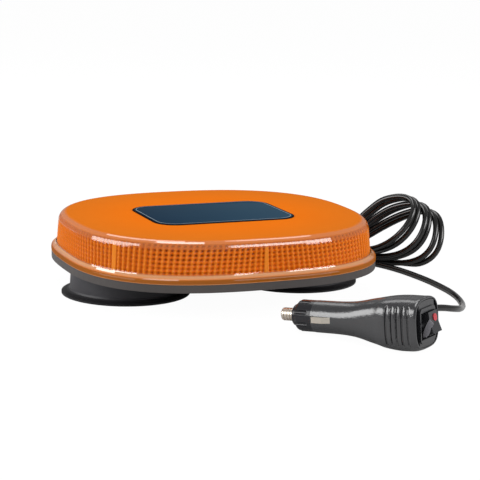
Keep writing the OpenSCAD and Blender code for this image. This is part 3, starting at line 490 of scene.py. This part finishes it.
# %% [markdown]
# The lens is moulded in amber plastic. Its roof is thick and reads as solid orange. In the wall, a band shows the small
# prisms inside it, so the skin there is thinner to the eye: its alpha falls over that height. The upright face of the
# flange looks brown, because the dark rim shows through it. Masks by height give all of this, and work the same from
# every side.

# %% Amber lens finish
Z_LEDGE, Z_TOP = 29.0, 53.7
HALF_LONG, HALF_WIDE = 113, 105
MASK_SPAN = (25, 55)


def amber_lens():
    material = moulded("amber lens", (244, 123, 17), (240, 118, 13), 0.3, 0.05, 160, 0.008, Specular_IOR_Level=0.0,
                       Coat_IOR=2.4, Coat_Roughness=0.04)
    tree, group, shader = surface_of(material)
    height = height_of(tree, *MASK_SPAN)
    clear = mask(tree, height, *MASK_SPAN, [
        (30.6, 1.0), (31.8, 0.14), (48.0, 0.14), (49.0, 0.55), (51.2, 0.6), (52.0, 1.0)])
    tree.links.new(clear, shader.inputs["Alpha"])
    gloss = mask(tree, height, *MASK_SPAN, [
        (25.6, 0.5), (26.0, 0.1), (28.4, 0.1), (28.9, 1.0), (31.4, 1.0), (32.5, 0.12), (47.0, 0.12), (48.2, 1.0),
        (53.3, 1.0), (53.68, 0.02)])
    tree.links.new(gloss, shader.inputs["Coat Weight"])
    face = mask(tree, height, *MASK_SPAN, [(25.7, 0.0), (25.95, 0.95), (28.5, 0.95), (29.0, 0.0)])
    # Painted highlights: a paler ring over the ledge above the flange, and a thin one along the flange's foot, stand in
    # for the light that catches them.
    painted_ledge_highlight = mask(tree, height, *MASK_SPAN, [
        (25.6, 0.8), (25.9, 0.0), (28.7, 0.0), (29.1, 0.85), (30.6, 0.75), (31.5, 0.0)])
    colour = tint(tree, group.outputs["Colour"], face, (62, 24, 3))
    colour = tint(tree, colour, painted_ledge_highlight, (255, 206, 156))
    tree.links.new(tint(tree, colour, roof_edge(tree), (204, 118, 36)), shader.inputs["Base Color"])
    return material


def roof_edge(tree):
    """A mask that rises from halfway out on the roof to its edge."""
    new, link = tree.nodes.new, tree.links.new
    where, flat, far = new("ShaderNodeTexCoord"), new("ShaderNodeVectorMath"), new("ShaderNodeVectorMath")
    flat.operation = "MULTIPLY"
    flat.inputs[1].default_value = (1 / (HALF_LONG * MM), 1 / (HALF_WIDE * MM), 0)
    far.operation = "LENGTH"
    link(where.outputs["Object"], flat.inputs[0])
    link(flat.outputs["Vector"], far.inputs[0])
    share = new("ShaderNodeMapRange")
    share.inputs["From Min"].default_value = 0.55
    share.inputs["From Max"].default_value = 1.1
    share.inputs["To Max"].default_value = 0.6
    link(far.outputs["Value"], share.inputs["Value"])
    return share.outputs["Result"]


nodes["lens"].data.materials.clear()
nodes["lens"].data.materials.append(amber_lens())
print("lens finished")

# %% [markdown]
# Inside the wall stands a band of prisms: seven rows of small pillows along the front and back, and upright flutes
# round the ends. A grid bent round the wall holds them. Its place comes from the rounded outline of the lens, which is
# a superellipse. Equal steps along that outline need its length, so the outline is measured first.

# %% Outline of the lens wall
MID_WALL = (4.8, 2.6)  # inset and squareness halfway up


def outline(t, inset, squareness):
    c, s = math.cos(t), math.sin(t)
    return Vector((
        (HALF_LONG - inset) * math.copysign(abs(c) ** (2 / squareness), c),
        (HALF_WIDE - inset) * math.copysign(abs(s) ** (2 / squareness), s), 0))


def wall_inset(z):
    """The wall leans in a little, and curls in over the rounded edge at its top."""
    curl = min(max((z - Z_TOP) / 6 + 1, 0), 1)
    return 3.4 + 0.8 * (z - Z_LEDGE) / (Z_TOP - Z_LEDGE) + 6 * (1 - math.sqrt(1 - curl * curl))


def wall_squareness(z):
    return 2.68 - 0.2 * (z - Z_LEDGE) / (Z_TOP - Z_LEDGE)


def even_turns(count, fineness=7200):
    """Turns at which the wall's outline is cut into equal lengths, from its front middle round to it again."""
    fine = [2 * math.pi * i / fineness - math.pi / 2 for i in range(fineness + 1)]
    spots = [outline(t, *MID_WALL) for t in fine]
    run = [0.0]
    for a, b in zip(spots, spots[1:]):
        run.append(run[-1] + (b - a).length)
    turns, k = [], 0
    for i in range(count + 1):
        want = run[-1] * i / count
        while k < fineness - 1 and run[k + 1] < want:
            k += 1
        f = (want - run[k]) / max(run[k + 1] - run[k], 1e-9)
        turns.append(fine[k] + (fine[k + 1] - fine[k]) * min(max(f, 0), 1))
    return turns, run[-1]


COLUMNS, ROWS, FINE = 172, 7, 6
turns, wall_length = even_turns(COLUMNS * FINE)
print("wall is", round(wall_length, 1), "mm round, so a column is", round(wall_length / COLUMNS, 2), "mm")

# %% Depth of a prism
BAND_LOW, BAND_HIGH = 30.6, 51.6


def pillow_share(x):
    """1 where the wall has pillows, less where upright flutes take over, at the ends."""
    return min(max((84 - abs(x)) / 12, 0.35 if x < 0 else 0.0), 1)


def prism(column, row, x):
    """Depth behind the skin, and how strong the painted shade and the painted highlight are there. Plain bars part the
    prisms into fields.
    """
    if abs(x) < 1.4 or abs(abs(x) - 95) < 1.1:
        return 0.2, 0.0, 0.8
    u, v = column % 1.0, row % 1.0
    share = pillow_share(x)
    ridge = math.cos(2 * math.pi * u) * 0.5 + 0.5
    step = math.cos(2 * math.pi * v) * 0.5 + 0.5
    depth = 1.3 * (1 - ridge) + share * 0.8 * (1 - step)
    strength = (0.45 + 0.6 * min(max((row - 1) / 3, 0), 1)) * (1.0 if x < -8 else 0.75)
    dot = math.exp(-abs((u - 0.5) / 0.26) ** 3 - abs((v - 0.52) / 0.27) ** 3) * share * strength
    flute = math.exp(-((u - 0.5) / 0.2) ** 2) * (1 - share) * 0.55
    return depth, dot + flute, ridge ** 3 * 0.7


print("deepest prism", round(prism(0.5, 0.5, 20)[0], 2), "mm")

# %% Band of prisms
band = bmesh.new()
bmesh.ops.create_grid(band, x_segments=COLUMNS * FINE, y_segments=ROWS * FINE, size=0.5)
dark, light = band.verts.layers.float.new("dark"), band.verts.layers.float.new("light")
for v in band.verts:
    i, row = round((v.co.x + 0.5) * COLUMNS * FINE), (v.co.y + 0.5) * ROWS
    z = BAND_LOW + (BAND_HIGH - BAND_LOW) * row / ROWS
    t = turns[i]
    depth, v[dark], v[light] = prism(i / FINE, row, outline(t, *MID_WALL).x)
    p = outline(t, wall_inset(z) + 0.3 + depth * 0.9, wall_squareness(z))
    v.co = Vector((p.x, p.y, z)) * MM
bmesh.ops.remove_doubles(band, verts=band.verts, dist=1e-6)
bmesh.ops.recalc_face_normals(band, faces=band.faces)
print("band has", len(band.faces), "faces")

# %% Finish of the prisms
def prism_finish():
    material = moulded("amber prisms", (246, 118, 18), (238, 108, 13), 0.22, 0.05, 200, 0.0, Specular_IOR_Level=0.05,
                       Coat_Weight=0.08, Coat_Roughness=0.1)
    tree, group, shader = surface_of(material)
    colour = group.outputs["Colour"]
    # Painted light: the dark dots are painted shade in the middle of each prism, and the pale ridges and plain bars are
    # painted highlights.
    for name, tone in (("light", (255, 160, 56)), ("dark", (104, 38, 4))):
        amount = tree.nodes.new("ShaderNodeAttribute")
        amount.attribute_name = name
        colour = tint(tree, colour, amount.outputs["Fac"], tone)
    tree.links.new(colour, shader.inputs["Base Color"])
    return material


new_piece("prism_band", band, prism_finish(), sharp=80)

# %% [markdown]
# The label is a thin plate in the middle of the roof. It starts as one square face, is stretched, gets its corners
# rounded by a bevel of its vertices, and is extruded. It is left bare: dark blue, with a black border and one fine
# silver line.

# %% Label plate
def rounded_plate(length, width, radius, low, high, bevel):
    bm = bmesh.new()
    bmesh.ops.create_grid(bm, x_segments=1, y_segments=1, size=0.5)
    bmesh.ops.scale(bm, vec=(length, width, 1), verts=bm.verts)
    bmesh.ops.bevel(bm, geom=list(bm.verts), offset=radius, offset_type="OFFSET", segments=10, profile=0.5,
                    affect="VERTICES", material=-1)
    bmesh.ops.translate(bm, vec=(0, 0, low), verts=bm.verts)
    top = bmesh.ops.extrude_face_region(bm, geom=list(bm.faces))["geom"]
    lifted = [g for g in top if isinstance(g, bmesh.types.BMVert)]
    bmesh.ops.translate(bm, vec=(0, 0, high - low), verts=lifted)
    bmesh.ops.recalc_face_normals(bm, faces=bm.faces)
    rim = [e for e in bm.edges if all(abs(v.co.z - high) < 1e-6 for v in e.verts)]
    bmesh.ops.bevel(bm, geom=rim, offset=bevel, offset_type="OFFSET", segments=3, profile=0.5,
                    affect="EDGES", material=-1)
    bmesh.ops.scale(bm, vec=(MM, MM, MM), verts=bm.verts)
    return bm


label_border = moulded("label border", (16, 18, 22), (12, 13, 16), 0.3, 0.1, 1200, 0.03, Specular_IOR_Level=0.0,
                       Coat_Weight=0.1)
border_plate = rounded_plate(106.6, 75.2, 15.6, Z_TOP, Z_TOP + 0.55, 0.3)
new_piece("label_border", border_plate, label_border, ["label_plate"])

# %% Blue face of the label
def blue_label():
    """The blue is a little lighter towards the right: a painted highlight."""
    material = moulded("blue label", (28, 50, 70), (33, 56, 76), 0.3, 0.08, 1500, 0.01, Specular_IOR_Level=0.0,
                       Coat_Weight=0.08)
    tree, group, shader = surface_of(material)
    where, split, across = (tree.nodes.new("ShaderNode" + kind) for kind in ("TexCoord", "SeparateXYZ", "MapRange"))
    tree.links.new(where.outputs["Object"], split.inputs["Vector"])
    across.inputs["From Min"].default_value = -50 * MM
    across.inputs["From Max"].default_value = 50 * MM
    tree.links.new(split.outputs["X"], across.inputs["Value"])
    label_painted_highlight = tint(tree, group.outputs["Colour"], across.outputs["Result"], (48, 76, 96))
    tree.links.new(label_painted_highlight, shader.inputs["Base Color"])
    return material


new_piece("label_face", rounded_plate(103.8, 72.4, 14.2, Z_TOP + 0.5, Z_TOP + 0.66, 0.05), blue_label())

# %% Silver line on the label
LINE_TOP = Z_TOP + 0.72
keyline = rounded_plate(101.8, 70.4, 13.2, Z_TOP + 0.6, LINE_TOP, 0.02)
silver = moulded("silver line", (150, 164, 172), (132, 146, 156), 0.35, 0.1, 1500, 0.02, Specular_IOR_Level=0.3)
tops = [f for f in keyline.faces if f.normal.z > 0.9]
ring = bmesh.ops.inset_region(keyline, faces=tops, thickness=0.55 * MM, use_even_offset=True)
middle = [f for f in keyline.faces if f.normal.z > 0.9 and f not in ring["faces"]
          and all(abs(v.co.z - LINE_TOP * MM) < 1e-6 for v in f.verts)]
bmesh.ops.delete(keyline, geom=middle, context="FACES")
bottoms = [f for f in keyline.faces if f.normal.z < -0.9]
bmesh.ops.delete(keyline, geom=bottoms, context="FACES")
new_piece("label_line", keyline, silver)

# %% [markdown]
# The plug is moulded in two black halves, screwed together along its middle. It grows from a round barrel to a wide,
# squarish grip with ribs. A grid bent round the plug's axis makes it: one direction of the grid runs along it and folds
# back inside the open end, the other runs round it. Then a cut through the middle parts the two halves.

# %% Stations of the plug
plug_plastic = moulded("plug plastic", (30, 30, 34), (38, 38, 42), 0.14, 0.1, 700, 0.25, IOR=2.0)
BARREL_S, GRIP_S, BARREL_R = 26.3, 105.6, 10.55  # where the shells begin and end, and the barrel's radius
stations = [(BARREL_S, BARREL_R, BARREL_R, 2, 0), (40.6, 10.65, 10.65, 2, 0), (48.6, 10.95, 10.85, 2, 0),
            (55.6, 11.55, 11.25, 2.1, 0), (61.6, 12.65, 11.95, 2.2, 0), (67.6, 13.95, 12.95, 2.4, 0),
            (73.6, 15.05, 13.95, 2.6, 0), (79.6, 16.1, 15.6, 2.9, 0), (86.6, 16.85, 16.05, 3.1, 0),
            (92.6, 17.1, 16.2, 3.2, 0), (100.6, 16.9, 16.2, 3.2, 0.2), (104.4, 16.4, 16.1, 3.2, 0.8),
            (GRIP_S, 15.8, 15.8, 3.2, 0.9)]


def at_station(s):
    """Half height, half width, squareness and rise at a distance s from the tip, smoothed between the stations."""
    s = min(max(s, stations[0][0]), stations[-1][0])
    k = max(i for i in range(len(stations) - 1) if stations[i][0] <= s)
    a, b = stations[k], stations[k + 1]
    before, after = stations[max(k - 1, 0)], stations[min(k + 2, len(stations) - 1)]
    f, span = (s - a[0]) / (b[0] - a[0]), b[0] - a[0]
    out = []
    for j in (1, 2, 3, 4):
        m0 = (b[j] - before[j]) / (b[0] - before[0]) * span
        m1 = (after[j] - a[j]) / (after[0] - a[0]) * span
        out.append((2 * f ** 3 - 3 * f ** 2 + 1) * a[j] + (f ** 3 - 2 * f ** 2 + f) * m0
                   + (3 * f ** 2 - 2 * f ** 3) * b[j] + (f ** 3 - f ** 2) * m1)
    return out


print("grip is", [round(2 * c, 1) for c in at_station(92.6)[:2]], "mm high and wide")

# %% [markdown]
# The grid's lines crowd where the skin changes fast: at the slots of the side contacts, over the ribs, at the seam and
# at the rounded end. Round the plug, the second quarter is the first one mirrored, and the other two repeat them.

# %% Where the grid's lines go
SLOT_S, SLOT_HALF, SLOT_DEPTH = (26.57, 41.19), 2.1, 2.6
slot_turn = math.degrees(math.asin(SLOT_HALF / BARREL_R))
lines_s = [BARREL_S, 26.54, 26.6] + list(range(28, 41, 2)) + [41.16, 41.22] + list(range(42, 81))
lines_s += [81 + 0.4 * i for i in range(57)] + [103.9, 104.4, 104.9, 105.3, GRIP_S]
to_seam = [0, 5, slot_turn - 0.6, slot_turn] + list(range(17, 86, 4)) + [88.2, 89.3]
from_seam = [0, 0.7, 1.8] + list(range(5, 74, 4)) + [90 - slot_turn, 90 - slot_turn + 0.6, 85]
lines_turn = []
for start, quarter in ((0, to_seam), (90, from_seam), (180, to_seam), (270, from_seam)):
    lines_turn += [start + a for a in quarter]
lines_turn.append(360)
RIBS = (84.1, 87.9, 91.8, 95.7, 99.6)
print("lines along and round the plug:", len(lines_s), len(lines_turn))

# %% A point on the plug's skin
def soft_step(x):
    x = min(max(x, 0.0), 1.0)
    return x * x * (3 - 2 * x)


def skin_point(s, turn, inward):
    """A point of the plug, or of its wall's inside where inward isn't 0. Ribs, seam and slots cut into the outside."""
    high, wide, q, rise = at_station(s)
    c, n = math.cos(math.radians(turn)), math.sin(math.radians(turn))
    y = (wide - inward) * math.copysign(abs(c) ** (2 / q), c)
    z = (high - inward) * math.copysign(abs(n) ** (2 / q), n)
    cut = 0.0
    if inward == 0:
        off = min(abs(turn - 90), abs(turn - 270))
        cut += 0.28 if off < 0.2 else 0.0
        rib = min(abs(s - r) for r in RIBS)
        side = soft_step((13.2 - abs(z)) / 1.2)
        cut += 0.95 * max(0.0, 1 - (rib / 0.7) ** 2) * side + 0.22 * soft_step((2.0 - rib) / 1.4) * side
        facing = min(turn % 180, 180 - turn % 180)
        if SLOT_S[0] < s < SLOT_S[1] and facing < slot_turn - 0.3:
            cut += SLOT_DEPTH
    length = math.hypot(y, z)
    return Vector((s, y * (1 - cut / length), rise + z * (1 - cut / length)))


print("rib groove at", [round(c, 2) for c in skin_point(RIBS[2], 180, 0)])

# %% The two halves of the plug
SEAM_HALF = 0.03
folded_back = [(GRIP_S, 0.25), (GRIP_S, 0.75), (105.3, 0.95), (103, 1.6), (99, 2.1), (92.6, 2.1)]
path = [(BARREL_S, 4.0)] + [(s, 0.0) for s in lines_s] + folded_back
skin = bmesh.new()
bmesh.ops.create_grid(skin, x_segments=len(path) - 1, y_segments=len(lines_turn) - 1, size=0.5)
for v in skin.verts:
    s, inward = path[round((v.co.x + 0.5) * (len(path) - 1))]
    v.co = skin_point(s, lines_turn[round((v.co.y + 0.5) * (len(lines_turn) - 1))], inward)
bmesh.ops.remove_doubles(skin, verts=skin.verts, dist=1e-4)
bmesh.ops.holes_fill(skin, edges=[e for e in skin.edges if e.is_boundary], sides=0)
bmesh.ops.recalc_face_normals(skin, faces=skin.faces)
for name, keep in (("near", -1), ("far", 1)):
    half = skin.copy()
    bmesh.ops.bisect_plane(half, geom=list(half.verts) + list(half.edges) + list(half.faces), dist=1e-5,
                           plane_co=(0, keep * SEAM_HALF, 0), plane_no=(0, keep, 0), clear_inner=True)
    bmesh.ops.holes_fill(half, edges=[e for e in half.edges if e.is_boundary], sides=0)
    bmesh.ops.scale(half, vec=(MM, MM, MM), verts=half.verts)
    bmesh.ops.transform(half, matrix=PLUG, verts=half.verts)
    bmesh.ops.recalc_face_normals(half, faces=half.faces)
    new_piece("plug_half_" + name, half, plug_plastic, ["plug_shell_" + name], sharp=28)
skin.free()

# %% [markdown]
# The rocker has a thin, curved cheek on its near side. Its grey is painted light, far lighter than the part, so that it
# still shows pale in the shade of the opening. A small grid is stretched between two rails in the plug's frame, given
# as (s, z), and solidify gives it its thickness. It rides on the rocker and turns with it.

# %% Cheek of the rocker
def along_rail(rail, f):
    """The place at a share f of the way along a rail."""
    k = min(int(f * (len(rail) - 1)), len(rail) - 2)
    return Vector(rail[k]).lerp(Vector(rail[k + 1]), f * (len(rail) - 1) - k)


outer_rail = [(108.6, 3.7), (107.0, 1.3), (105.5, -1.5), (104.2, -4.9), (103.6, -8.2)]
inner_rail = [(111.3, 1.2), (109.6, -1.7), (108.8, -4.0), (108.0, -6.0), (106.2, -7.9)]
CHEEK_Y, CHEEK_WALL = -2.7, 0.35
cheek = bmesh.new()
bmesh.ops.create_grid(cheek, x_segments=12, y_segments=2, size=0.5)
for v in cheek.verts:
    spot = along_rail(outer_rail, v.co.x + 0.5).lerp(along_rail(inner_rail, v.co.x + 0.5), v.co.y + 0.5)
    v.co = Vector((spot.x, CHEEK_Y, spot.y)) * MM
bmesh.ops.recalc_face_normals(cheek, faces=cheek.faces)
bmesh.ops.solidify(cheek, geom=list(cheek.faces), thickness=CHEEK_WALL * MM)
bmesh.ops.transform(cheek, matrix=PLUG, verts=cheek.verts)
bmesh.ops.recalc_face_normals(cheek, faces=cheek.faces)
# Painted light: this grey is lifted well above the part's own, so the cheek reads pale in the shade.
cheek_grey = moulded("cheek grey", (176, 174, 180), (160, 158, 165), 0.4, 0.1, 900, 0.12)
new_piece("rocker_cheek", cheek, cheek_grey, body="rocker")

# %% [markdown]
# The other solids keep their shapes and get their finishes: rubber, zinc, ferrite, aluminium, boards and the small
# parts inside.

# %% Rubber of the boots
def boot_rubber():
    """The thin skirt on the surface is blacker than the body over it."""
    material = moulded("boot rubber", (72, 71, 75), (62, 61, 65), 0.38, 0.15, 600, 0.08, Specular_IOR_Level=0.35)
    tree, group, shader = surface_of(material)
    skirt = mask(tree, height_of(tree, 0, 20), 0, 20, [(2.2, 1.0), (4.6, 0.0)])
    tree.links.new(tint(tree, group.outputs["Colour"], skirt, (42, 41, 43)), shader.inputs["Base Color"])
    return material


print("boot rubber ready")

# %% Finishes of the solids that stay
finishes = {
    "seal": moulded("seal", (34, 34, 36), (28, 28, 30), 0.7, 0.1, 500, 0.1),
    "tray": moulded("tray plastic", (86, 81, 79), (77, 73, 72), 0.4, 0.1, 900, 0.12, Specular_IOR_Level=0.3),
    "boot_rubber": boot_rubber(),
    "screw_steel": moulded("screw steel", (176, 178, 182), (160, 162, 166), 0.32, 0.1, 1500, 0.05, Metallic=1.0),
    "bracket_metal": moulded("bracket aluminium", (190, 192, 194), (176, 178, 180), 0.38, 0.1, 1500, 0.08,
                             Metallic=1.0),
    "board_white": moulded("white board", (232, 232, 226), (222, 222, 216), 0.45, 0.1, 900, 0.03),
    "led_body": moulded("LED body", (250, 222, 150), (240, 205, 120), 0.3, 0.05, 900, 0.02),
    "reflector": moulded("reflector", (220, 220, 216), (206, 206, 202), 0.4, 0.1, 700, 0.03),
    "board_green": moulded("green board", (26, 86, 54), (20, 72, 46), 0.4, 0.1, 1100, 0.04),
    "components": moulded("components", (44, 46, 50), (34, 36, 40), 0.4, 0.15, 900, 0.05),
    "terminal": moulded("terminal block", (36, 112, 62), (30, 98, 54), 0.45, 0.1, 900, 0.05),
    "cup_steel": moulded("cup zinc", (158, 160, 164), (142, 144, 148), 0.38, 0.15, 700, 0.06, Metallic=1.0),
    "ferrite": moulded("ferrite", (58, 56, 54), (48, 46, 44), 0.6, 0.15, 1300, 0.2),
    "gland_plastic": moulded("gland plastic", (40, 40, 42), (34, 34, 36), 0.42, 0.1, 900, 0.1),
    "cap_plastic": moulded("cap plastic", (30, 30, 34), (38, 38, 42), 0.13, 0.08, 900, 0.02, Specular_IOR_Level=0.5),
    "contact_metal": moulded("contact nickel", (226, 220, 210), (212, 202, 186), 0.22, 0.12, 1300, 0.05, Metallic=1.0),
    "fuse_glass": moulded("fuse", (214, 208, 200), (196, 188, 178), 0.25, 0.1, 1200, 0.03, Metallic=0.5),
    "spring_steel": moulded("spring steel", (168, 170, 174), (150, 152, 156), 0.3, 0.1, 1400, 0.05, Metallic=1.0),
    "switch_plastic": moulded("switch plastic", (40, 40, 43), (46, 46, 49), 0.2, 0.1, 1000, 0.05, IOR=1.8),
    "brass": moulded("brass", (196, 158, 82), (180, 140, 66), 0.3, 0.15, 1300, 0.05, Metallic=1.0),
    "lamp_red": moulded("red lamp", (206, 44, 56), (190, 34, 46), 0.22, 0.05, 900, 0.02, Coat_Weight=0.5),
}
finishes["cord_skin"] = cord_skin
finishes["plug_plastic"] = plug_plastic
for part in frame["record"]["subparts"]:
    if part["node"] != "lens" and part["material_slot"] in finishes:
        mesh = nodes[part["node"]].data
        mesh.materials.clear()
        mesh.materials.append(finishes[part["material_slot"]])
print("finishes:", len(finishes))
